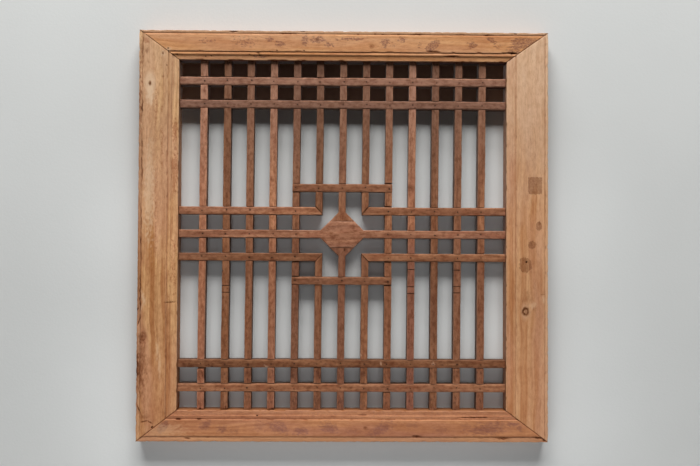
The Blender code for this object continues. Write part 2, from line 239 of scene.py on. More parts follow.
# Marks by kind, in millimetres: (x, z, half length, half width), and any tilt in degrees
BOARD_MARKS = {
    "top_rail": {
        "hole": [(-386, -9, 1.6, 1.6), (-189, -17.5, 4, 1.6), (-292, -24, 1.4, 1.2),
                 (-148, -12, 1.6, 1.2), (-88.6, -12, 1.6, 1.2), (-186, -21.5, 1.8, 1.4),
                 (-305, -25.2, 1.4, 1.2), (-208, -20.5, 1.2, 1)],
        "halo": [(-386, -11, 7, 4.5)],
        "chip": [(-243, 29, 7, 2.2), (-92, 30, 5, 1.8), (377, 29, 4.5, 1.8), (194, -11.5, 17, 1.6),
                 (236, -21.8, 14, 2.2), (367, -13, 12, 1.8), (-368, -22, 4, 1.2)],
        "grime": [(29.5, 26.2, 4, 1.6), (67, 26.2, 3, 1.4), (84, 26.2, 4, 1.4), (119, 26.2, 4, 1.8),
                  (161, 26.2, 19, 2.2), (255, 26.2, 15, 1.2), (316, 26, 14, 2.2), (-126, 26.2, 20, 1.6)],
        "faint": [(-217.5, 6.6, 28, 12), (-300, 7, 18, 6), (108, 2, 6, 5), (165, 3, 7, 6),
                  (340, 1, 10, 5)],
        "stain": [(-165, 12.5, 9, 6), (-141, 3, 11, 7), (-87, 12, 9, 12), (-58, 12, 20, 7),
                  (-34, 2, 9, 6), (-185, -23.5, 18, 4), (15.5, 15, 34, 4), (90, 7, 11, 9.5, 50),
                  (126, 14, 9, 6.5, 20), (282, 3.5, 9.5, 7.5), (325, 14, 13, 5, -25),
                  (379, -2, 20, 11, 25), (396, 6, 20, 9)],
        "blot": [(194, 1, 19, 9.5, 35), (401, 8, 36, 14, -4)],
        "bruise": [(280, 4, 2, 1.8)],
    },
    "right_stile": {
        "patch": [(420.6, -305.5, 15.5, 19)],
        "blot": [(429, -394, 7, 10.5), (414, -435.5, 9, 9.5), (399, -480, 15, 18, 10)],
        "hole": [(402, -473.5, 1.8, 1.8)],
        "fleck": [(440, -555, 4.5, 8), (415, -568, 8, 6, 30)],
        "dim": [(403, -553, 8, 11)],
        "bruise": [(431, -388.5, 2.8, 3.2), (438.5, -544, 6, 1)],
    },
    "bottom_rail": {
        "fleck": [(-395, -844, 45, 14)],
        "blot": [(-390, -835, 17, 9, 50)],
        "stain": [(-298, -831, 14, 9, 35), (-260, -840, 12, 7.5), (-139, -836, 22, 11, -20),
                  (-90, -843, 16, 8), (-30, -835, 20, 11, -10), (82, -839, 28, 11, 25),
                  (318, -837, 40, 14, 8), (308, -840, 16, 8), (388, -837, 6.5, 7), (372, -828, 15, 5)],
        "faint": [(-235, -842, 12, 7, 20), (-178, -833, 17, 11), (20, -844, 18, 7), (150, -830, 18, 6),
                  (215, -841, 20, 8), (270, -832, 14, 6)],
        "chip": [(290, -813.8, 30, 1.8), (-357, -818, 5.5, 1.4), (-312, -818, 5, 1.2),
                 (-338, -859.5, 6, 2), (162, -855, 10, 3), (442, -863, 5, 3.5, -35)],
        "bruise": [(100, -818, 17, 1), (-24, -812.5, 10, 1.6), (44, -809, 10, 1.6)],
        "grime": [(351, -859, 15, 2.8), (430, -858, 12, 2.6, -8)],
        "hole": [(-186, -810, 2, 1.2)],
    },
    "left_stile": {
        "grime": [(-397, -19.7, 2, 3.4), (-388, -46, 1.6, 1.8), (-446.5, -706, 4.5, 42)],
        "halo": [(-397, -20, 4, 7), (-424.5, -317, 11, 100), (-435, -556, 4, 13, 15)],
        "eye": [(-424.5, -100, 8.5, 33)],
        "fleck": [(-403.5, -668, 3, 21), (-399, -703, 2.6, 23), (-439, -576, 3, 12, -15)],
        "faint": [(-372, -490, 9, 70), (-398, -220, 4, 70), (-437.5, -645, 8.5, 20), (-444, -80, 5, 90),
                  (-410, -330, 3, 130), (-411, -135, 3.5, 60)],
        "stain": [(-370.5, -190, 6, 26), (-370, -275, 7, 50), (-434, 9, 8, 6)],
        "bruise": [(-396, -71, 3, 2.2), (-445.5, -734, 4, 26), (-447, -115, 3, 50), (-433, -814, 8, 5),
                   (-444, -19, 4, 30), (-432, -14, 3.5, 6)],
        "crack": [(-377.5, -564.6, 11, 1, 3), (-447, -579, 6, 1.2, 62), (-445, -607, 11, 1, 70),
                  (-444, -794.5, 17.2, 1, -67), (-430, -823, 10, 1.1, 14), (-417.5, -825.5, 8, 1.2, -28)],
        "shade": [(-442, -706, 11, 50)],
        "hole": [(-414, -835.5, 3, 1.8, 20)],
    },
}

# How each board's moulding has worn, and the shade painted on it. In metres: the width of the moulding
# inside the field, of the outer strip and of the step into the valley, how high the ridge stands, and
# how deep and how far in the outer edge is bitten. As shares: how open the groove beside the strip is;
# how pale or dark the strip is; how dark the lines in the groove, the valley and past the ridge are,
# partly dirt and partly painted shade in these creases; how much painted shade lies over the edges
# that catch light and on the underside of the inner edge; how dark the bitten edge is; and how stained
# the face is from the field inwards.
PLAIN_EDGES = dict(
    strip_dark=0.0, groove_dark=0.0, ridge_dark=0.0, lit_dark=0.0, under_dark=0.0, inner_stain=0.0,
    outer_wear=0.0008, outer_width=0.0018, outer_dark=0.25)
BOARD_EDGES = {
    "top_rail": dict(
        moulding=0.0192, strip=0.0058, step=0.0003, groove_open=0.5, ridge_rise=0.0015,
        strip_pale=0.6, strip_dark=0.27, groove_dark=0.3, valley_dark=0.15, ridge_dark=0.2,
        lit_dark=0.3, under_dark=0.65),
    "right_stile": dict(
        moulding=0.0215, strip=0.005, step=0.001, groove_open=0.05, ridge_rise=0.0009,
        strip_pale=0.2, valley_dark=0.3),
    "bottom_rail": dict(
        moulding=0.02, strip=0.0092, step=0.0009, groove_open=0.6, ridge_rise=0.0002,
        strip_pale=0.2, groove_dark=0.16, valley_dark=0.05, lit_dark=0.08, inner_stain=0.6),
    "left_stile": dict(
        moulding=0.024, strip=0.0062, step=0.0005, groove_open=0.1, ridge_rise=0.0013,
        strip_pale=0.1, valley_dark=0.28, ridge_dark=0.08, outer_wear=0.0018,
        outer_width=0.0026, outer_dark=0.6),
}

# A knot is (x, z, radius, halo, rim): the grain parts round it, and it may have a pale halo or a dark
# rim
BOARD_KNOTS = {
    "top_rail": [(-0.06, 0.013, 0.003, 0.0, 0.35), (0.06, -0.001, 0.0035, 0.0, 0.35)],
    "right_stile": [(0.4, -0.5813, 0.006, 0.3, 0.75)],
    "bottom_rail": [(0.05, -0.836, 0.003, 0.0, 0.35)],
    "left_stile": [(-0.4248, -0.0855, 0.008, 0.7, 0.0), (-0.4368, -0.6392, 0.007, 0.0, 0.4)],
}
KNOT_DRAWN = 0.5
KNOT_SOFTNESS = 0.16
KNOT_RAGGED = 0.3
HEART_DARK = 0.68
RIM_SHADE = 0.6
HEART_START, HEART_END, HEART_SHRINK = 0.15, 0.75, 0.35
RIM_PLACE, RIM_WIDTH, RIM_SHORTER = 0.9, 0.42, 1.6
EYE_START, EYE_END = 0.8, 2.2

BAR_MARKS = {
    "faint": [(0, -718, 400, 20), (0, -780, 400, 20)],
    "dim": [(0, -722, 400, 10), (-308, -778, 20, 12), (-205, -722, 20, 9)],
    "shade": [(-308, -722, 20, 9)],
    "crack": [(-285, -705, 14, 1, -25), (14.3, -378.3, 3.6, 1, -38), (20.9, -384.9, 3, 1, -38)],
    "bruise": [(-297, -700, 6, 3), (-330, -703, 20, 7), (-310.2, -101.3, 5.5, 1.4, 60),
               (-305.2, -101.3, 5.5, 1.4, -60), (-156.4, -297.5, 3.6, 5), (150, -313, 16, 7)],
    "pale": [(-165, -705, 6, 1.8, -20), (86.5, -698, 2.2, 3.6), (201.4, -698, 2.8, 2.8),
             (41, -679, 3, 2.6)],
    "hole": [(-264.3, -497.3, 1.6, 1.6), (3.6, -449.2, 1.1, 4.2), (167, -311, 2, 2.6),
             (-308, -798.5, 9, 1.6), (-255, -798.5, 9, 1.4), (-154, -798.5, 9, 1.8)],
}

# Bars that sit a little off the regular pitch, in metres up or to the right
BAR_STRAYS = {
    "crossbar_short_lower": -0.0009, "crossbar_bottom_inner": 0.0034,
    "crossbar_bottom_outer": 0.0014, "upright_01": -0.001, "upright_13": 0.001,
}

# Old notches filled with slips of wood, which show as thin lines across an upright: heights
# about the lattice's centre
SCARF_LINES = {
    "upright_02": (-0.114, -0.129), "upright_05": (-0.0935, -0.11), "upright_09": (-0.113,),
    "upright_10": (-0.077, -0.115, -0.13), "upright_12": (-0.078, -0.114, -0.128),
}

# Laps that have opened: gap below and above the crossbar, in metres
OPEN_LAPS = {
    ("upright_01", "crossbar_bottom_inner"): (0.003, 0.0004),
    ("upright_02", "crossbar_top_inner"): (0.0004, 0.003),
    ("upright_05", "crossbar_lower_left"): (0.0032, 0.0006),
    ("upright_05", "crossbar_short_lower"): (0.0004, 0.002),
    ("upright_05", "crossbar_short_upper"): (0.0022, 0.0004),
    ("upright_centre", "crossbar_centre"): (0.0008, 0.0),
    ("upright_09", "crossbar_short_upper"): (0.0006, 0.0032),
    ("upright_09", "crossbar_upper_right"): (0.0004, 0.0032),
    ("upright_09", "crossbar_lower_right"): (0.003, 0.0004),
}


def in_metres(table):
    """A table's marks as (x, z, half length, half width, tilt, kind), in metres and degrees."""
    marks = []
    for kind, rows in table.items():
        for mark_x, mark_z, half_length, half_width, *tilt in rows:
            sizes = [size / 1000 for size in (mark_x, mark_z, half_length, half_width)]
            marks.append((*sizes, sum(tilt), kind))
    return marks


def mark_fields(x, z, ragged, marks):
    """How deep the marks sink at each point of a face, and their (dark, stain, pale) colours."""
    sink = np.zeros(len(x))
    colour = np.zeros((len(x), 3))
    for mark_x, mark_z, half_length, half_width, tilt, kind in marks:
        depth, channel, amount, edge_start, edge_end = KINDS[kind]
        cos, sin = math.cos(math.radians(tilt)), math.sin(math.radians(tilt))
        along = np.abs((x - mark_x) * cos + (z - mark_z) * sin) / half_length
        across = np.abs((z - mark_z) * cos - (x - mark_x) * sin) / half_width
        reach = np.maximum(along, across) if kind == "patch" else np.hypot(along, across)
        reach += RAGGED * (edge_end - edge_start) * ragged
        strength = 1 - smooth(edge_start, edge_end, reach)
        sink = np.maximum(sink, depth * strength)
        raise_to(colour, channel, amount * strength)
    return sink, colour


def knot_fields(along, across, ragged, knots):
    """How far knots push the grain sideways at each point, with their dark hearts and pale eyes."""
    push = np.zeros(len(along))
    colour = np.zeros((len(along), 3))
    for knot_along, knot_across, radius, halo, rim in knots:
        run = (along - knot_along) * KNOT_DRAWN
        side = across - knot_across
        reach = np.hypot(run, side) / radius
        push -= side / (reach ** 2 + KNOT_SOFTNESS)
        rounder = np.hypot(RIM_SHORTER * run, side) / radius + KNOT_RAGGED * ragged
        heart = 1 - smooth(HEART_START, HEART_END - HEART_SHRINK * halo, reach)
        ring = rim * np.exp(-((rounder - RIM_PLACE) / RIM_WIDTH) ** 2)
        raise_to(colour, DARK, HEART_DARK * (1 - RIM_SHADE * rim) * heart, ring)
        raise_to(colour, PALE, halo * (1 - smooth(EYE_START, EYE_END, reach)))
    return push, colour


# ---- meshes

def closed_tube(rings):
    """Corners and faces of a tube through rings of points, an array (ring, point, 3), with caps."""
    count, size = rings.shape[:2]
    index = np.arange(count * size).reshape(count, size)
    following = np.roll(index, -1, axis=1)
    sides = np.stack([index[:-1], following[:-1], following[1:], index[1:]], axis=-1)
    faces = sides.reshape(-1, 4).tolist()
    faces.append(index[0][::-1].tolist())
    faces.append(index[-1].tolist())
    return rings.reshape(-1, 3), faces


def add_object(name, data):
    """A new object in the scene."""
    made = bpy.data.objects.new(name, data)
    bpy.context.scene.collection.objects.link(made)
    return made


def add_piece(name, corners, faces, fields, material, weld=0.0):
    """Makes a mesh object with the fields as its attributes; weld joins corners that meet."""
    mesh = bpy.data.meshes.new(name)
    mesh.from_pydata(corners.tolist(), [], faces)
    for field, values in fields.items():
        layer = mesh.attributes.new(field, "FLOAT_VECTOR", "POINT")
        layer.data.foreach_set("vector", values.astype(np.float32).ravel())
    bm = bmesh.new()
    bm.from_mesh(mesh)
    if weld:
        bmesh.ops.remove_doubles(bm, verts=bm.verts, dist=weld)
    bmesh.ops.recalc_face_normals(bm, faces=bm.faces)
    bm.to_mesh(mesh)
    bm.free()
    mesh.shade_smooth()
    mesh.set_sharp_from_angle(angle=math.radians(SMOOTH_ANGLE))
    mesh.materials.append(material)
    return add_object(name, mesh)


def dress(piece, node):
    """The piece stands for its CAD node and moves with the window's one body."""
    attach(piece, "root")
    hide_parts(node)


# ---- frame boards

def face_profile(board):
    """Section of a board's face: (distance in from the outer edge, drop), outer to inner edge."""
    shares = [step / ARC_STEPS for step in range(ARC_STEPS + 1)]
    arc = [(1 - math.cos(math.pi / 2 * share), math.sin(math.pi / 2 * share)) for share in shares]
    shoulder = [(board.shoulder + SHOULDER_WIDTH * run, SHOULDER_DROP * (1 - rise))
                for run, rise in arc]
    ridge = [(board.ridge + RIDGE_WIDTH * share,
              VALLEY_DROP - board.ridge_rise * math.sin(RIDGE_TURN * share)) for share in shares]
    cove_start, cove_drop = ridge[-1]
    cove = [(cove_start + COVE_WIDTH * run, cove_drop + (INNER_DROP - cove_drop) * rise)
            for run, rise in arc[1:]]
    return [(0.0, STRIP_DROP + EDGE_ARRIS), (EDGE_ARRIS, STRIP_DROP), (board.strip, STRIP_DROP),
            (board.strip + GROOVE_WIDTH, STRIP_DROP + board.groove_open * GROOVE_DEPTH),
            *shoulder, (board.field_edge, 0.0), (board.field_edge + board.step, VALLEY_DROP),
            *ridge, *cove, (board.width - INNER_ARRIS, INNER_DROP),
            (board.width, INNER_DROP + INNER_ARRIS)]


def board_section(board):
    """The whole section as an array of (across, drop), dense on the face, and its normals."""
    depth = board.depth
    outline = face_profile(board)
    outline += [(board.width, depth - BACK_ARRIS), (board.width - BACK_ARRIS, depth),
                (BACK_ARRIS, depth), (0.0, depth - BACK_ARRIS)]
    section = []
    for start, end in zip(outline, outline[1:] + outline[:1]):
        hidden = max(start[1], end[1]) > 2 * INNER_DROP
        pieces = math.ceil(math.dist(start, end) / (HIDDEN_SPACING if hidden else FACE_SPACING))
        for step in range(pieces):
            share = step / pieces
            section.append([a + (b - a) * share for a, b in zip(start, end)])
    section = np.array(section)
    tangent = np.roll(section, -1, axis=0) - np.roll(section, 1, axis=0)
    tangent /= np.linalg.norm(tangent, axis=1, keepdims=True)
    return section, np.stack([tangent[:, 1], -tangent[:, 0]], axis=1)


def board_places(board, across):
    """x of every ring's points along the board, which is mitred, and their distance to its end."""
    start = across * board.beside[0] / board.width - board.length / 2 + MITRE_GAP
    end = board.length / 2 - across * board.beside[1] / board.width - MITRE_GAP
    near = np.array(MITRE_RINGS)[:, None]
    shares = np.linspace(0, 1, BOARD_RINGS)[1:-1, None]
    middle = start + near[-1] + (end - start - 2 * near[-1]) * shares
    along = np.vstack([start + near, middle, end - near[::-1]])
    return along, np.minimum(along - start, end - along)


def frame_board(board):
    """A mitred board of the frame, with its moulding, wear, marks and knots."""
    section, normals = board_section(board)
    along, from_end = board_places(board, section[:, 0])
    across = np.broadcast_to(section[:, 0], along.shape).ravel()
    drop = np.broadcast_to(section[:, 1], along.shape).ravel()
    along, from_end = along.ravel(), from_end.ravel()
    patina = smooth(INNER_DROP + INNER_ARRIS, 2 * INNER_DROP, drop)
    front = 1 - patina

    places = np.stack([along, across, drop], axis=1)
    wave = rough(places, BOARD_WAVES, board.seed)
    nibble = rough(places, NIBBLE_WAVES, board.seed + 1)
    ragged = rough(places, RAGGED_WAVES, board.seed + 2)
    arris = front * bump_at(across, [(0.0, 1.0), (board.strip, 0.5), (board.shoulder, 0.4),
                                     (board.field_edge, 0.7), (board.width, 1.0)], ARRIS_WIDTH)
    outer = front * bump_at(across, [(0.0, 1.0)], board.outer_width)
    # Darker lines in the groove, the valley and past the ridge, partly dirt and partly painted shade in
    # these creases, and painted shade over the lit edges by the shoulder and the ridge
    dirt_and_painted_shade = front * bump_at(across, [(board.strip + GROOVE_WIDTH, board.groove_dark),
                                    (board.ridge - VALLEY_WIDTH / 2, board.valley_dark),
                                    (board.ridge + RIDGE_WIDTH, board.ridge_dark),
                                    (board.shoulder + LIT_OFFSET, board.lit_dark),
                                    (board.ridge + LIT_OFFSET, board.lit_dark)], DIRT_AND_SHADE_WIDTH)

    bite = smooth(*BITE_SPAN, nibble)
    bitten = nibble + BITE_RAGGED * ragged
    sink = BOARD_WAVE * (1 + wave) / 2 + MITRE_BEVEL * (1 - smooth(0, MITRE_RINGS[3], from_end))
    sink += arris * (BOARD_WEAR * (1 - WEAR_SWING + WEAR_SWING * wave) + BOARD_BITE * bite)
    sink += outer * board.outer_wear * smooth(*OUTER_SPAN, bitten)
    fallen, torn = broken_edge(board, along, across, front)
    sink += BREAK_DEPTH * fallen

    x, z = board.to_window(along, across)
    mark_sink, mark_colour = mark_fields(x, z, ragged, board.marks)
    knots = [(*board.from_window(knot_x, knot_z), *rest) for knot_x, knot_z, *rest in board.knots]
    push, knot_colour = knot_fields(along, across, ragged, knots)
    sink += front * mark_sink
    colour = np.maximum(mark_colour, knot_colour) * front[:, None]
    mitre = 1 - smooth(MITRE_RINGS[1], MITRE_RINGS[3], from_end)
    on_strip = front * (1 - smooth(board.strip, board.shoulder + SHOULDER_WIDTH / 2, across))
    # Painted shade on the underside of the board's inner edge; only the top rail has any
    under = patina * smooth(board.width - 2 * INNER_ARRIS, board.width, across)
    raise_to(colour, DARK, MITRE_DARK * front * mitre, BITE_DARK * arris * bite, torn,
             board.outer_dark * outer * smooth(*OUTER_DARK_SPAN, bitten),
             dirt_and_painted_shade * mixed(DIRT_AND_SHADE_MIX, wave, ragged), board.strip_dark * on_strip,
             board.under_dark * under)
    raise_to(colour, STAIN, board.inner_stain * front * smooth(board.field_edge, board.ridge, across))
    raise_to(colour, PALE, board.strip_pale * on_strip)

    inwards = np.tile(normals, (len(along) // len(normals), 1)) * sink[:, None]
    x, z = board.to_window(along, across - inwards[:, 0])
    corners = np.stack([x, board.front + drop - inwards[:, 1], z], axis=1)
    height = (z - cad_bounds[0].z) / (cad_bounds[1].z - cad_bounds[0].z)
    places[:, 1] += push
    fields = dict(grain=places + board.seed, marks=colour,
                  wear=np.stack([arris * (1 - bite), patina, height], axis=1))
    rings = corners.reshape(-1, len(section), 3)
    return add_piece(board.name, *closed_tube(rings), fields, wood(board.name, board.look))


def broken_edge(board, along, across, front):
    """Where the left stile's outer strip has broken away, and the torn line beside it."""
    if board.name != "left_stile":
        return front * 0, front * 0
    line = np.outer(along, (1, 0, 0))

    def wavering(slow, fast, share, seed):
        """Noise along the board: slow and fast waves to the metre, and the fast one's share."""
        return rough(line, (slow, 0, 0), seed) + share * rough(line, (fast, 0, 0), seed + 1)

    height = board.to_window(along, across)[1]
    within = smooth(BREAK_FOOT - BREAK_FADE, BREAK_FOOT + BREAK_FADE, height)
    within *= smooth(BREAK_TOP + BREAK_FADE, BREAK_TOP - BREAK_FADE, height)
    beyond = across - BREAK_MIDDLE - BREAK_SWING * wavering(*BREAK_NOISE)
    fallen = within * front * (1 - smooth(-BREAK_SHARP, BREAK_SHARP, beyond))
    strength = TORN_LEAST + (1 - TORN_LEAST) * smooth(-0.5, 0.6, wavering(*TORN_NOISE))
    torn = within * front * strength * np.exp(-(beyond / TORN_WIDTH) ** 2)
    return fallen, np.maximum(TORN_DARK * torn, FALLEN_DARK * fallen)


def make_boards():
    """The four boards as read from the frame, going round from the top rail."""
    low, high = cad_bounds
    middle_x, middle_z = (low.x + high.x) / 2, (low.z + high.z) / 2
    table = [("top_rail", high.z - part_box("top_rail")[0].z, (middle_x, high.z)),
             ("right_stile", high.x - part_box("right_stile")[0].x, (high.x, middle_z)),
             ("bottom_rail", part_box("bottom_rail")[1].z - low.z, (middle_x, low.z)),
             ("left_stile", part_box("left_stile")[1].x - low.x, (low.x, middle_z))]
    boards = []
    for quarter, (name, width, place) in enumerate(table):
        turn = quarter * math.pi / 2
        cos, sin = round(math.cos(turn)), round(math.sin(turn))

        def to_window(along, across, cos=cos, sin=sin, place=place):
            return place[0] + along * cos - across * sin, place[1] - along * sin - across * cos

        def from_window(x, z, cos=cos, sin=sin, place=place):
            right, up = x - place[0], z - place[1]
            return right * cos - up * sin, -right * sin - up * cos

        board = SimpleNamespace(
            name=name, width=width, beside=(table[quarter - 1][1], table[(quarter + 1) % 4][1]),
            length=high.z - low.z if quarter % 2 else high.x - low.x, depth=high.y - low.y,
            front=low.y, seed=FIRST_BOARD_SEED + BOARD_SEED_STEP * quarter, look=BOARD_LOOKS[name],
            marks=in_metres(BOARD_MARKS[name]), knots=BOARD_KNOTS[name],
            to_window=to_window, from_window=from_window, **{**PLAIN_EDGES, **BOARD_EDGES[name]})
        board.shoulder = board.strip + GROOVE_WIDTH + SHOULDER_OFFSET
        board.field_edge = width - board.moulding
        board.ridge = board.field_edge + board.step + VALLEY_WIDTH
        boards.append(board)
    return boards


# ---- lattice bars
# A ring across a bar is (place, lean, lapped, lined): where it crosses the bar's axis, how much
# further along it lies for each metre across, and whether it has lost its lapped half or lies in a
# scarf line.
WHOLE, LAPPED, LINED = (False, False), (True, False), (False, True)


def read_bars():
    """Every bar of the lattice as its CAD node's box gives it."""
    bars = {}
    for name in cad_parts:
        if not name.startswith(("upright", "crossbar")):
            continue
        low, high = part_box(name)
        upright = name.startswith("upright")
        across, along = (0, 2) if upright else (2, 0)
        bars[name] = SimpleNamespace(
            name=name, upright=upright, start=low[along], end=high[along],
            centre=(low[across] + high[across]) / 2 + BAR_STRAYS.get(name, 0.0),
            half=(high[across] - low[across]) / 2,
            front=low.y, back=high.y, board_half=0.0, laps=[], corner=None)
    plain = {True: bars["upright_01"].half, False: bars["crossbar_top_outer"].half}
    for bar in bars.values():
        if bar.half > WIDENED * plain[bar.upright]:
            bar.board_half = bar.half
        bar.half = plain[bar.upright]
    return bars


def lap_bars(bars, opening):
    """Finds where the bars lap and where they meet in a mitre, and trims them to the opening."""
    dice = random.Random(LAP_DICE)
    for bar in bars.values():
        low, high = (opening.bottom, opening.top) if bar.upright else (opening.left, opening.right)
        bar.start = max(bar.start, low + SHOULDER_GAP)
        bar.end = min(bar.end, high - SHOULDER_GAP)

    def meets(bar, other):
        return bar.start - other.half < other.centre < bar.end + other.half

    crossbars = [bar for bar in bars.values() if not bar.upright]
    uprights = [bar for bar in bars.values() if bar.upright]
    for crossbar, upright in itertools.product(crossbars, uprights):
        if not (meets(crossbar, upright) and meets(upright, crossbar)):
            continue
        loose = [LAP_GAP + LAP_LOOSENESS * dice.random() ** 2 for _ in range(2)]
        gaps = OPEN_LAPS.get((upright.name, crossbar.name), loose)
        reach = crossbar.board_half if upright.board_half and crossbar.board_half else 0.0
        upright.laps.append((crossbar.centre, max(crossbar.half, reach), gaps))
        crossbar.laps.append((upright.centre, max(upright.half, reach), (LAP_GAP, LAP_GAP)))
        spare = [abs(end - crossbar.centre) for end in (upright.start, upright.end)]
        if min(spare) < 2 * crossbar.half:
            above, beside = crossbar.centre > opening.middle_z, upright.centre > opening.middle_x
            lean = 1 if above == beside else -1
            upright.corner = (crossbar.centre, lean * crossbar.half / upright.half)
            crossbar.corner = (upright.centre, lean * upright.half / crossbar.half)


def bar_keys(bar):
    """The rings where something changes along a bar, from its start to its end."""
    keys = [(bar.start, 0.0, *WHOLE)]
    for centre, half, (gap_before, gap_after) in sorted(bar.laps):
        before, after = centre - half - gap_before, centre + half + gap_after
        into = [(before, 0.0, *WHOLE), (before, 0.0, *LAPPED)]
        out = [(after, 0.0, *LAPPED), (after, 0.0, *WHOLE)]
        first, last = (bar.start, 0.0, *LAPPED), (bar.end, 0.0, *LAPPED)
        at_start, at_end = before <= bar.start, after >= bar.end
        if bar.corner and abs(bar.corner[0] - centre) < half:
            lean = bar.corner[1]
            at_start = abs(bar.start - centre) < 2 * half
            at_end = not at_start
            if bar.upright:
                before, after = centre - CORNER_GAP, centre + CORNER_GAP
                into = [(before - MITRE_LINE, lean, *WHOLE), (before, lean, *LINED),
                        (before, lean, *LAPPED)]
                out = [(after, lean, *LAPPED), (after, lean, *LINED),
                       (after + MITRE_LINE, lean, *WHOLE)]
            else:
                first = last = (centre, lean, *LAPPED)
        if at_start:
            keys = [first, *out]
        elif at_end:
            return [*keys, *into, last]
        else:
            keys += [*into, *out]
    return [*keys, (bar.end, 0.0, *WHOLE)]


def add_changes(keys, changes):
    """Puts plain rings, or scarf lines, between the keys of a bar where it is whole."""
    for place, lined in changes:
        index = next(index for index, key in enumerate(keys) if place <= key[0])
        keys.insert(index, (place, 0.0, keys[index - 1][2], lined))
    return keys


def fill_rings(keys):
    """All the rings of a bar, close enough together to carry its wear."""
    rings = []
    for (place, lean, lapped, lined), (next_place, next_lean, *_) in zip(keys, keys[1:]):
        steps = max(1, round(abs(next_place - place) / BAR_SPACING))
        for step in range(steps):
            share = step / steps
            rings.append((place + (next_place - place) * share, lean + (next_lean - lean) * share,
                          lapped, lined and step == 0))
    return np.array([*rings, keys[-1]], float)


def bar_section(bar, points):
    """A bar's section: (share of the half width, offset across, y) for each point round it."""
    middle = (bar.front + bar.back) / 2
    lap_floor = middle + LAP_GAP / 2 if bar.upright else middle - LAP_GAP / 2
    slope = BAR_ARRIS * (1 - math.sin(math.pi / 4))
    corner = [(1, 0.0, bar.front + BAR_ARRIS), (1, -slope, bar.front + slope),
              (1, -BAR_ARRIS, bar.front)]
    face = [(share, 0.0, bar.front) for share in np.linspace(FACE_SHARE, -FACE_SHARE, points)]
    mirrored = [(-share, -offset, y) for share, offset, y in reversed(corner)]
    back = [(-1, 0.0, bar.back - BAR_ARRIS), (-1, BAR_ARRIS, bar.back), (0, 0.0, bar.back),
            (1, -BAR_ARRIS, bar.back), (1, 0.0, bar.back - BAR_ARRIS)]
    outline = [(1, 0.0, lap_floor), *corner, *face, *mirrored, (-1, 0.0, lap_floor), *back]
    return np.array(outline, float), lap_floor


def half_widths(bar, places):
    """Half the bar's width at each place; the middle bars widen to the diamond."""
    if not bar.board_half:
        return np.full(len(places), bar.half)
    return np.clip(DIAMOND_REACH - np.abs(places - bar.middle), bar.half, bar.board_half)


def on_window(bar, across, along):
    """x and z of places on a straight bar."""
    return (bar.centre + across, along) if bar.upright else (along, bar.centre + across)


def lattice_bar(bar, seed, look, marks, opening):
    """One bar with its laps, worn arrises, marks and scarf lines."""
    changes = []
    for height in SCARF_LINES.get(bar.name, ()):
        centre = opening.middle_z + height
        changes += [(centre - 2 * SCARF_HALF, False), (centre - SCARF_HALF, True),
                    (centre + SCARF_HALF, True), (centre + 2 * SCARF_HALF, False)]
    if bar.board_half:
        neck, shoulder = DIAMOND_REACH - bar.half, DIAMOND_REACH - bar.board_half
        changes += [(bar.middle + side, False) for side in (-neck, -shoulder, shoulder, neck)]
    rings = fill_rings(add_changes(bar_keys(bar), changes))
    points = DIAMOND_FACE_POINTS if bar.board_half else BAR_FACE_POINTS
    section, lap_floor = bar_section(bar, points)

    share, offset, section_y = section.T
    across = half_widths(bar, rings[:, 0])[:, None] * share + offset
    along = (rings[:, 0, None] + rings[:, 1, None] * across).ravel()
    lapped, lined = (np.repeat(rings[:, column] > 0, len(section)) for column in (2, 3))
    on_side = np.tile(np.abs(share) == 1, len(rings))
    across, y = across.ravel(), np.tile(section_y, len(rings))

    places = np.stack([along, across, y], axis=1)
    wave = rough(places, BAR_WAVES, seed)
    ragged = rough(places, RAGGED_WAVES, seed + 1)
    at_front = 1 - smooth(bar.front + BAR_ARRIS, bar.front + 3 * BAR_ARRIS, y)
    arris = at_front * on_side
    wear = arris * BAR_WEAR * np.clip(mixed(BAR_WEAR_MIX, wave, ragged), 0, 2)
    mark_sink, colour = mark_fields(*on_window(bar, across, along), ragged, marks)
    sink = at_front * (mark_sink * BAR_MARK_DEPTH + SCARF_DROP * lined)
    colour *= at_front[:, None]
    raise_to(colour, DARK, SCARF_DARK * lined * at_front)

    across = across - np.sign(across) * wear * SIDE_WEAR
    y = y + wear + sink * (y < lap_floor)
    patina = smooth(BAR_ARRIS, 2.2 * BAR_ARRIS, y - bar.front)
    y = np.where(lapped, np.maximum(y, lap_floor) if bar.upright else np.minimum(y, lap_floor), y)
    x, z = wander(*on_window(bar, across, along), opening)
    corners = np.stack([x, y, z], axis=1).reshape(len(rings), len(section), 3)
    height = (z - opening.bottom) / (opening.top - opening.bottom)
    fields = dict(grain=places + seed, marks=colour,
                  wear=np.stack([arris, patina, height], axis=1))
    return add_piece(bar.name, *closed_tube(corners), fields, wood(bar.name, look), weld=1e-6)


def wander(x, z, opening):
    """Leans the lattice and lets it stray a little, but not where it meets the frame."""
    free_x = smooth(0, WANDER_MARGIN, np.minimum(x - opening.left, opening.right - x))
    free_z = smooth(0, WANDER_MARGIN, np.minimum(z - opening.bottom, opening.top - z))
    places = np.stack([x, z, np.zeros_like(x)], axis=1)
    above = z - opening.middle_z
    lean = LATTICE_SHIFT + LATTICE_LEAN * above
    lift = LATTICE_LIFT * (1 - smooth(*LIFT_SPAN, np.abs(above)))
    shift_x = free_x * (lean + BAR_WANDER * rough(places, WANDER_WAVES, 3, 1))
    return x + shift_x, z + free_z * (lift + BAR_WANDER * rough(places, WANDER_WAVES, 4, 1))


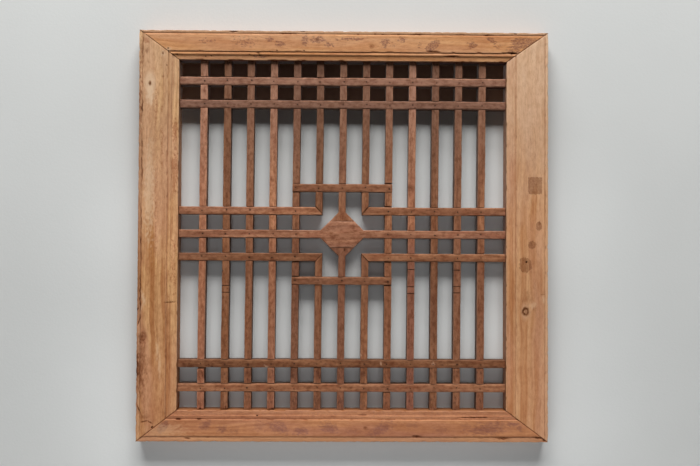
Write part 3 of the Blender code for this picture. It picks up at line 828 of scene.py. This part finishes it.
def place_nails(bars):
    """Where nails go in: at every lap but the diamond's and the mitred corners, a little astray."""
    dice = random.Random(NAIL_DICE)
    nails = []
    for crossbar in bars.values():
        if crossbar.upright:
            continue
        for column, half, _ in sorted(crossbar.laps):
            on_diamond = crossbar.board_half and half > WIDENED * crossbar.half
            in_mitre = crossbar.corner and abs(crossbar.corner[0] - column) < half
            if on_diamond or in_mitre:
                continue
            stray_x, stray_z = (NAIL_STRAY * (2 * dice.random() - 1) for _ in range(2))
            size = NAIL_SMALLEST + NAIL_SPREAD * dice.random()
            nails.append((column + stray_x, crossbar.centre + stray_z, size, crossbar.front))
    return nails


def nail_heads(nails, opening):
    """A small domed head for every nail, just proud of the wood."""
    bm = bmesh.new()
    for nail_x, nail_z, size, front in nails:
        x, z = wander(np.array([nail_x]), np.array([nail_z]), opening)
        turn = Matrix.Translation((x[0], front, z[0])) @ Matrix.Rotation(math.pi / 2, 4, "X")
        flat = Matrix.Diagonal((size, size, NAIL_HEIGHT / NAIL_RADIUS, 1.0))
        bmesh.ops.create_uvsphere(bm, u_segments=NAIL_SIDES, v_segments=6, radius=NAIL_RADIUS,
                                  matrix=turn @ flat)
    mesh = bpy.data.meshes.new("nail_heads")
    bm.to_mesh(mesh)
    bm.free()
    mesh.shade_smooth()
    mesh.materials.append(rusty_iron("nail_iron"))
    heads = add_object("nail_heads", mesh)
    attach(heads, "root")


# ---- materials

class Shader:
    """A material's nodes: each call adds a node, sets its inputs and gives its output."""

    def __init__(self, name):
        self.material = bpy.data.materials.new(name)
        self.material.use_nodes = True
        self.tree = self.material.node_tree
        self.surface = self.tree.nodes["Principled BSDF"]

    def put(self, socket, value):
        if isinstance(value, bpy.types.NodeSocket):
            self.tree.links.new(value, socket)
        else:
            socket.default_value = value

    def add(self, kind, inputs, output=0, **settings):
        node = self.tree.nodes.new("ShaderNode" + kind)
        for setting, value in settings.items():
            setattr(node, setting, value)
        for socket, value in inputs.items():
            self.put(node.inputs[socket], value)
        return node.outputs[output]

    def field(self, name):
        return self.add("Attribute", {}, "Vector", attribute_name=name)

    def parts(self, name):
        return tuple(self.add("SeparateXYZ", {0: self.field(name)}).node.outputs)

    def stretch(self, vector, waves):
        return self.add("VectorMath", {0: vector, 1: waves}, operation="MULTIPLY")

    def noise(self, vector, waves, detail=2.0, roughness=0.5):
        scaled = self.stretch(vector, waves)
        return self.add("TexNoise", {"Vector": scaled, "Scale": 1.0, "Detail": detail,
                                     "Roughness": roughness})

    def span(self, value, low, high, to_low=0.0, to_high=1.0):
        return self.add("MapRange", {"Value": value, "From Min": low, "From Max": high,
                                     "To Min": to_low, "To Max": to_high})

    def plus(self, first, second):
        return self.add("Math", {0: first, 1: second}, operation="ADD")

    def times(self, first, second):
        return self.add("Math", {0: first, 1: second}, operation="MULTIPLY")

    def blend(self, share, first, second, mode="MIX"):
        return self.add("Mix", {0: share, 6: first, 7: second}, 2, data_type="RGBA", blend_type=mode)

    def bend_grain(self, grain, amount):
        """The grain's coordinates with a slow wander across it."""
        drift = self.noise(grain, BEND_WAVES).node.outputs[1]
        centred = self.add("VectorMath", {0: drift, 1: (0.5, 0.5, 0.5)}, operation="SUBTRACT")
        pushed = self.stretch(centred, (0.0, amount, amount))
        return self.add("VectorMath", {0: grain, 1: pushed}, operation="ADD")

    def finish(self, colour, roughness, height, distance):
        bump = self.add("Bump", {"Height": height, "Strength": 1.0, "Distance": distance})
        for socket, value in (("Base Color", colour), ("Roughness", roughness),
                              ("Specular IOR Level", SHINE), ("Normal", bump)):
            self.put(self.surface.inputs[socket], value)
        return self.material


def rgb(red, green, blue):
    return (red, green, blue, 1.0)


# The wood's noises: detail, roughness, and whether each bends with the grain
NOISES = {
    "band": (2.0, 0.5, True), "streak": (4.0, 0.6, True), "patch": (3.0, 0.55, True),
    "line": (3.0, 0.65, True), "pore": (2.0, 0.6, True), "blush": (2.0, 0.5, True),
    "mottle": (4.0, 0.65, False), "fleck": (4.0, 0.7, False), "speck": (2.0, 0.6, False),
}

# Where each layer over the wood starts and is full. Most of a noise lies from 0.3 to 0.7.
SPANS = {
    "blush": (0.46, 0.62), "patch": (0.48, 0.68), "mottle": (0.42, 0.66), "line": (0.5, 0.72),
    "pore": (0.6, 0.74), "fleck": (0.6, 0.7), "figure": (0.42, 0.58), "speck": (0.42, 0.58),
    "dirt_and_painted_shade": (0.0, 0.65), "crack": (0.5, 1.0), "pit": (0.58, 0.72), "coarse": (0.7, 1.3),
}
MOST = (0.3, 0.7)
NEARLY_ALL = (0.25, 0.75)
MIDST = (0.35, 0.65)
STAIN_RAGGED = 0.8
DARK_RAGGED = 0.5
PATINA_LEAST = 0.75
SMOOTHER, ROUGHER = 0.1, 0.12
LINE_DEPTH, PIT_DEPTH, MOTTLE_DEPTH = -1.0, -0.8, 0.5
BEND_WAVES = (4, 12, 12)
SHINE = 0.1
BAND_SHARE = 0.6
# The dark marks' darkest brown and their warm tint carry dirt, cracks and holes and also painted shade
CRACK_AND_SHADE_BROWN = rgb(0.028, 0.012, 0.007)
PATINA_BROWN = rgb(0.07, 0.03, 0.016)
DIRT_AND_SHADE_TINT = rgb(0.36, 0.22, 0.14)
IRON_BLACK = rgb(0.018, 0.01, 0.008)
RUST_BROWN = rgb(0.05, 0.022, 0.012)
IRON_WAVES = (900, 900, 900)
IRON_BUMP = 0.0001
PLASTER_CLOUD = 0.965
PLASTER_WAVES = (180, 180, 180)
PLASTER_BUMP = 0.0002
CLOUD_WAVES = (2.5, 2.5, 2.5)


def wood(name, look):
    """Old wood: its figure, the layers over it, what wore, stained and darkened it, and painted shade."""
    shader = Shader(name)
    plus, times, span, blend = shader.plus, shader.times, shader.span, shader.blend
    grain = shader.field("grain")
    dark, stain, pale = shader.parts("marks")
    worn, patina, height = shader.parts("wear")
    bent = shader.bend_grain(grain, look.bend)
    noises = {}
    for kind, (detail, roughness, bends) in NOISES.items():
        waves = getattr(look, kind + "_waves")
        noises[kind] = shader.noise(bent if bends else grain, waves, detail, roughness)

    def layer(under, kind, share, tone, mode="MIX"):
        return blend(span(noises[kind], *SPANS[kind], 0.0, share), under, tone, mode)

    figure = plus(times(noises["band"], BAND_SHARE), times(noises["streak"], 1 - BAND_SHARE))
    colour = blend(span(figure, *SPANS["figure"]), look.deep, look.light)
    colour = layer(colour, "blush", look.blushing, look.blush)
    colour = layer(colour, "patch", look.patchiness, look.warm)
    level = plus(height, span(noises["patch"], *MOST, -look.unevenness, look.unevenness))
    colour = blend(span(level, *look.crown_span, 0.0, look.crown_share), colour, look.crown)
    colour = blend(span(level, *look.foot_span, 0.0, look.foot_share), colour, look.foot)
    for kind, share in (("mottle", look.mottling), ("line", look.lining), ("pore", look.poring),
                        ("fleck", look.flecking)):
        colour = layer(colour, kind, share, look.tint, "MULTIPLY")
    colour = blend(times(worn, look.wear_share), colour, look.worn)

    ragged = span(noises["fleck"], *NEARLY_ALL, -STAIN_RAGGED, STAIN_RAGGED)
    stained = span(plus(stain, times(ragged, look.raggedness)), *look.stain_span)
    stained = times(stained, span(stain, 0.0, 0.25))
    specks = span(noises["speck"], *SPANS["speck"], 1 - look.speckling, 1.0)
    colour = blend(times(stained, specks), colour, look.stain, "MULTIPLY")
    colour = blend(pale, colour, look.pale)
    aged = times(patina, span(noises["mottle"], *MOST, PATINA_LEAST, 1.0))
    colour = blend(aged, colour, look.patina)
    # The dark marks: dirt, cracks, holes and knots, and also painted shade in the moulding's creases,
    # over its lit edges and under the top rail's inner edge
    darker = plus(dark, times(times(ragged, dark), DARK_RAGGED))
    colour = blend(span(darker, *SPANS["dirt_and_painted_shade"]), colour, DIRT_AND_SHADE_TINT, "MULTIPLY")
    colour = blend(span(darker, *SPANS["crack"]), colour, CRACK_AND_SHADE_BROWN)

    roughness = span(plus(noises["mottle"], noises["line"]), *SPANS["coarse"],
                     look.roughness - SMOOTHER, look.roughness + ROUGHER)
    pits = times(span(noises["pore"], *SPANS["pit"]), PIT_DEPTH)
    relief = plus(times(noises["line"], LINE_DEPTH), pits)
    relief = plus(relief, times(noises["mottle"], MOTTLE_DEPTH))
    return shader.finish(colour, roughness, relief, look.bump)


def rusty_iron(name):
    shader = Shader(name)
    place = shader.add("TexCoord", {}, "Object")
    spots = shader.noise(place, IRON_WAVES, 3.0, 0.6)
    colour = shader.blend(shader.span(spots, *MIDST), IRON_BLACK, RUST_BROWN)
    return shader.finish(colour, shader.span(spots, *MOST, 0.65, 0.9), spots, IRON_BUMP)


def plaster(name, colour):
    """A plain pale matt coat with the faintest unevenness."""
    shader = Shader(name)
    place = shader.add("TexCoord", {}, "Object")
    cloud = shader.noise(place, CLOUD_WAVES, 3.0, 0.5)
    fine = shader.noise(place, PLASTER_WAVES, 3.0, 0.6)
    clouded = rgb(*[PLASTER_CLOUD * part for part in colour[:3]])
    tint = shader.blend(shader.span(cloud, *MIDST), colour, clouded)
    return shader.finish(tint, shader.span(fine, *MOST, 0.85, 0.95), fine, PLASTER_BUMP)


def look(**changes):
    """A wood's colours and scales, with what differs from the common ones."""
    common = dict(
        bend=0.03,
        light=rgb(0.78, 0.44, 0.225), deep=rgb(0.51, 0.225, 0.09), warm=rgb(0.47, 0.19, 0.08),
        blush=rgb(0.66, 0.36, 0.23), worn=rgb(0.84, 0.56, 0.35), crown=rgb(0.84, 0.56, 0.35),
        foot=rgb(0.47, 0.205, 0.1), crown_span=(0.5, 1.0), foot_span=(0.45, 0.1), unevenness=0.12,
        stain=rgb(0.56, 0.53, 0.6), pale=rgb(0.8, 0.56, 0.37), tint=rgb(0.6, 0.44, 0.34),
        patina=rgb(0.25, 0.092, 0.03),
        band_waves=(1.6, 55, 26), streak_waves=(3.0, 150, 60), patch_waves=(9, 34, 16),
        blush_waves=(3, 26, 14), line_waves=(6, 360, 240), pore_waves=(110, 1500, 1200),
        mottle_waves=(60, 140, 140), fleck_waves=(150, 230, 230), patchiness=0.5, blushing=0.5,
        mottling=0.35, lining=0.28, poring=0.3, flecking=0.3, crown_share=0.0, foot_share=0.0,
        speck_waves=(240, 400, 400), speckling=0.35, stain_span=(0.4, 0.8),
        wear_share=0.35, raggedness=0.75, roughness=0.6, bump=0.0004)
    return SimpleNamespace(**{**common, **changes})


BOARD_LOOKS = {
    "top_rail": look(light=rgb(0.8, 0.43, 0.21), deep=rgb(0.64, 0.295, 0.12),
                     warm=rgb(0.56, 0.23, 0.1), blushing=0.3, flecking=0.45, speckling=0.65,
                     stain=rgb(0.45, 0.4, 0.52), stain_span=(0.3, 0.8)),
    "right_stile": look(light=rgb(0.7, 0.39, 0.2), deep=rgb(0.52, 0.232, 0.098),
                        crown=rgb(0.88, 0.61, 0.41), stain=rgb(0.58, 0.5, 0.46), raggedness=0.25,
                        speckling=0.25, crown_share=0.85, foot_share=0.2),
    "bottom_rail": look(light=rgb(0.6, 0.275, 0.128), deep=rgb(0.44, 0.18, 0.08),
                        warm=rgb(0.42, 0.165, 0.075), blush=rgb(0.46, 0.2, 0.13),
                        worn=rgb(0.66, 0.38, 0.23), stain=rgb(0.6, 0.58, 0.8), raggedness=0.35,
                        pale=rgb(0.76, 0.47, 0.26), stain_span=(0.15, 1.05)),
    "left_stile": look(light=rgb(0.84, 0.5, 0.24), deep=rgb(0.5, 0.22, 0.078),
                       blush=rgb(0.68, 0.365, 0.215), crown=rgb(0.88, 0.63, 0.4),
                       blushing=0.75, mottling=0.52, flecking=0.48, lining=0.38,
                       stain=rgb(0.72, 0.56, 0.5), patchiness=0.75, patch_waves=(7, 40, 18),
                       patina=rgb(0.31, 0.118, 0.038), crown_share=0.45, foot_share=0.5),
}


# Each bar's own tone: how much red light it gives back, how grey rather than red it is, and how far
# its lower half has darkened. Grey lifts green and blue by these shares.
GREY_GREEN = 0.06
GREY_BLUE = 0.12
BAR_TONES = {
    "upright_01": (0.57, 0.3, 0.5), "upright_02": (0.315, 0, 0), "upright_03": (0.355, 0.2, 0.35),
    "upright_04": (0.49, 0.3, 0.5), "upright_05": (0.32, 0.3, 0.5),
    "upright_06_upper": (0.26, 0.2, 0), "upright_06_lower": (0.285, 0.2, 0),
    "upright_centre": (0.36, 0.3, 0.6),
    "upright_08_upper": (0.31, 0.2, 0), "upright_08_lower": (0.325, 0.2, 0),
    "upright_09": (0.385, 0.2, 0.4), "upright_10": (0.53, 0.4, 1), "upright_11": (0.29, 0.2, 0.2),
    "upright_12": (0.32, 0.3, 0.2), "upright_13": (0.38, 0.2, 0.55),
    "crossbar_top_outer": (0.43, 0.4, 0), "crossbar_top_inner": (0.32, 0.5, 0),
    "crossbar_short_upper": (0.37, 0.2, 0), "crossbar_upper_left": (0.435, 0.3, 0),
    "crossbar_upper_right": (0.375, 0.2, 0), "crossbar_centre": (0.415, 0.55, 0),
    "crossbar_lower_left": (0.29, 0.2, 0), "crossbar_lower_right": (0.335, 0.2, 0),
    "crossbar_short_lower": (0.32, 0.2, 0), "crossbar_bottom_inner": (0.25, 0.1, 0),
    "crossbar_bottom_outer": (0.345, 0.2, 0),
}


def bar_look(level, greyness, foot_share):
    """A dark lattice wood of one bar's own tone."""
    def tone(share, green, blue):
        return rgb(share * level, share * level * (green + GREY_GREEN * greyness),
                   share * level * (blue + GREY_BLUE * greyness))

    return look(
        bend=0.004, light=tone(1.24, 0.44, 0.205), deep=tone(0.79, 0.4, 0.175),
        warm=tone(0.86, 0.34, 0.14), worn=tone(1.35, 0.52, 0.3), crown=tone(0.92, 0.53, 0.35),
        foot=tone(0.6, 0.38, 0.2), crown_span=(0.56, 0.92), foot_span=(0.56, 0.46),
        unevenness=0.03, pale=rgb(0.62, 0.38, 0.25), tint=rgb(0.5, 0.38, 0.3),
        patina=PATINA_BROWN, blush=tone(1.0, 0.46, 0.27), band_waves=(5, 90, 60),
        streak_waves=(9, 210, 120), patch_waves=(26, 70, 50), line_waves=(16, 560, 420),
        mottle_waves=(90, 160, 160), fleck_waves=(130, 240, 240), patchiness=0.7, blushing=0.4,
        mottling=0.8, lining=0.45, flecking=0.85, crown_share=0.7, foot_share=foot_share,
        wear_share=0.25, roughness=0.62)


# ---- camera, stage and light

def add_camera():
    data = bpy.data.cameras.new("camera")
    data.sensor_width = CAMERA_SENSOR
    data.lens = CAMERA_LENS
    camera = add_object("camera", data)
    turn = Matrix.Rotation(math.radians(-CAMERA_YAW), 4, "Z")
    tilt = Matrix.Rotation(math.radians(90 + CAMERA_PITCH), 4, "X")
    roll = Matrix.Rotation(math.radians(CAMERA_ROLL), 4, "Z")
    camera.matrix_world = Matrix.Translation(CAMERA_PLACE) @ turn @ tilt @ roll
    bpy.context.scene.camera = camera


def add_panel(name, half, near, far, material):
    """A flat sheet of the stage between two level edges, each at (y, z)."""
    mesh = bpy.data.meshes.new(name)
    corners = [(-half, *near), (half, *near), (half, *far), (-half, *far)]
    mesh.from_pydata(corners, [], [(0, 1, 2, 3)])
    mesh.materials.append(material)
    panel = add_object(name, mesh)
    return panel


def mix_surfaces(tree, share, first, second, output):
    """Mixes two surfaces into a material's or world's output by a share from 0 to 1."""
    mix = tree.nodes.new("ShaderNodeMixShader")
    tree.links.new(share, mix.inputs[0])
    tree.links.new(first.outputs[0], mix.inputs[1])
    tree.links.new(second.outputs[0], mix.inputs[2])
    tree.links.new(mix.outputs[0], tree.nodes[output].inputs["Surface"])


def one_sided(material):
    """Makes a sheet's back see-through, so that it hides nothing from behind."""
    tree = material.node_tree
    side = tree.nodes.new("ShaderNodeNewGeometry")
    clear = tree.nodes.new("ShaderNodeBsdfTransparent")
    mix_surfaces(tree, side.outputs["Backfacing"], tree.nodes["Principled BSDF"], clear,
                 "Material Output")
    return material


def add_light(name, place, target, width, height, power, colour):
    data = bpy.data.lights.new(name, "AREA")
    data.shape = "RECTANGLE"
    data.size, data.size_y = width, height
    data.energy = power
    data.color = colour
    light = add_object(name, data)
    light.location = place
    light.rotation_euler = (Vector(target) - Vector(place)).to_track_quat("-Z", "Y").to_euler()
    return light


def add_world(seen, glow):
    """A pale surround to look at, which lights the window only faintly."""
    world = bpy.data.worlds.new("surround")
    world.use_nodes = True
    tree = world.node_tree
    ray = tree.nodes.new("ShaderNodeLightPath")
    pale, faint = tree.nodes["Background"], tree.nodes.new("ShaderNodeBackground")
    pale.inputs["Color"].default_value = seen
    faint.inputs["Color"].default_value = glow
    mix_surfaces(tree, ray.outputs["Is Camera Ray"], faint, pale, "World Output")
    bpy.context.scene.world = world


# Daylight from high in front: name, elevation in degrees, height of the panel and watts
KEY_LIGHTS = [("key", 54, 1.7, 205), ("high_key", 74, 0.9, 215)]
KEY_ASIDE = -0.03
KEY_DISTANCE = 5.0
KEY_WIDTH = 4.0
KEY_COLOUR = (1.0, 0.99, 0.97)

# Low panels in front that soften the lower shadows: name, distance, height above the origin, height
# aimed at, height of the panel, watts and spread in degrees
FILL_LIGHTS = [("middle_fill", 0.6, -0.39, -0.39, 0.1, 0.085, 38),
               ("fill", 0.6, -0.76, -0.76, 0.2, 0.18, 60),
               ("low_fill", 0.35, -1.05, -0.8, 0.25, 0.5, 180)]
FILL_WIDTH = 1.1
FILL_COLOUR = (0.97, 0.98, 1.0)

# One light behind the wall, so that the window's back can be looked at: place from the window's
# centre, size and watts
BACK_PLACE = (-0.6, 4.0, 0.8)
BACK_SIZE = 3.0
BACK_POWER = 40

# The wall and the floor: half widths, the wall's top and its gap behind the window, and the floor's
# reach to the front and back
WALL_HALF, WALL_TOP, WALL_GAP = 1.5, 0.75, 0.001
FLOOR_HALF, FLOOR_REACH, FLOOR_Z = 2.2, 1.5, -2.3
WALL_PALE = rgb(0.765, 0.785, 0.785)
FLOOR_PALE = rgb(0.7, 0.7, 0.69)
SURROUND = rgb(0.74, 0.75, 0.75)
GLOW = rgb(0.002, 0.002, 0.0022)


def set_stage():
    low, high = cad_bounds
    centre = (low + high) / 2
    wall_y = high.y + WALL_GAP
    wall = add_panel("wall_panel", WALL_HALF, (wall_y, FLOOR_Z), (wall_y, WALL_TOP),
                     one_sided(plaster("pale_plaster", WALL_PALE)))
    wall.visible_shadow = False
    add_panel("floor", FLOOR_HALF, (-FLOOR_REACH, FLOOR_Z), (FLOOR_REACH, FLOOR_Z),
              plaster("pale_floor", FLOOR_PALE))
    for name, rise, height, power in KEY_LIGHTS:
        turn = math.radians(rise)
        away = Vector((KEY_ASIDE, -math.cos(turn), math.sin(turn))) * KEY_DISTANCE
        add_light(name, centre + away, centre, KEY_WIDTH, height, power, KEY_COLOUR)
    for name, away, from_z, to_z, height, power, spread in FILL_LIGHTS:
        fill = add_light(name, (0.0, -away, from_z), (0.0, 0.0, to_z), FILL_WIDTH, height, power,
                         FILL_COLOUR)
        fill.data.spread = math.radians(spread)
        fill.visible_camera = False
    add_light("back_fill", centre + Vector(BACK_PLACE), centre, BACK_SIZE, BACK_SIZE, BACK_POWER,
              (1.0, 1.0, 1.0))
    add_world(SURROUND, GLOW)
    bpy.context.scene.view_settings.view_transform = "Standard"


# ---- the window

def main():
    add_camera()
    boards = make_boards()
    for board in boards:
        dress(frame_board(board), board.name)

    top, right, bottom, left = boards
    low, high = cad_bounds
    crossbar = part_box("crossbar_centre")
    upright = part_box("upright_centre")
    opening = SimpleNamespace(
        left=low.x + left.width, right=high.x - right.width,
        bottom=low.z + bottom.width, top=high.z - top.width,
        middle_x=(upright[0].x + upright[1].x) / 2, middle_z=(crossbar[0].z + crossbar[1].z) / 2)
    bars = read_bars()
    lap_bars(bars, opening)
    dice = random.Random(BAR_DICE)
    nails = place_nails(bars)
    rust = [(x, z, NAIL_RUST * size, NAIL_RUST * size, 0, "bruise") for x, z, size, _ in nails]
    marks = in_metres(BAR_MARKS) + rust
    for index, name in enumerate(sorted(bars)):
        bar = bars[name]
        bar.middle = opening.middle_z if bar.upright else opening.middle_x
        seed = 100 + 3 * index + dice.random()
        piece = lattice_bar(bar, seed, bar_look(*BAR_TONES[name]), marks, opening)
        dress(piece, name)
    nail_heads(nails, opening)
    set_stage()


main()
